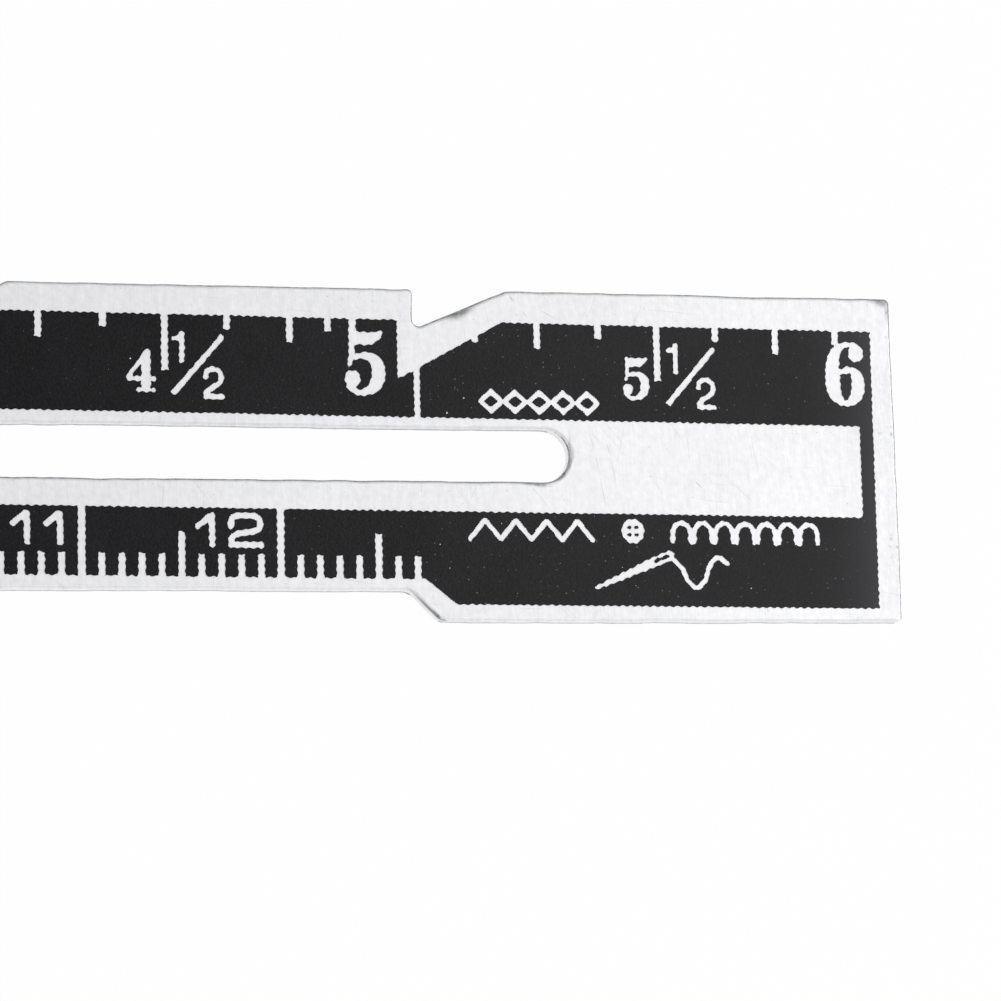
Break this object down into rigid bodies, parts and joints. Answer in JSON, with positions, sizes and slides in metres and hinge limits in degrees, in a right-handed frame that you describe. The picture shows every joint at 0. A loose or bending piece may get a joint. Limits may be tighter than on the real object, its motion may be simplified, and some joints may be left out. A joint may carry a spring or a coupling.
{
  "type": "sewing gauge",
  "caption": "Slotted aluminium strip ruler with inch and centimetre scales, saw-tooth notches along the inch edge and a sliding plastic pointer.",
  "frame": {"origin": "middle of the gauge's box, on the plane of the slider's back plate, which is the lowest face; the zero end of both scales is at X -0.0762", "axes": "+X along the strip from the zero end to the wide end, +Y towards the notched inch edge, +Z out of the printed face"},
  "size_m": [0.1524, 0.0204, 0.0049],
  "materials": {
    "satin_aluminium": "satin, with a fine grain across the strip",
    "black_ink": "screen-printed black ink, satin",
    "slider_plastic": "moulded blue plastic, semi-gloss"
  },
  "bodies": {
    "gauge_strip": {"strip": "satin_aluminium", "zero_end_print": "black_ink", "inch_scale_print": "black_ink", "centimetre_scale_print": "black_ink", "wide_end_print": "black_ink"},
    "slider": {"slider_pointer": "slider_plastic", "slider_back_plate": "slider_plastic"}
  },
  "joints": [
    {"name": "slider_slide", "type": "slide", "parent": "gauge_strip", "child": "slider", "axis": [1, 0, 0], "range_m": [-0.0449, 0.0722]}
  ]
}
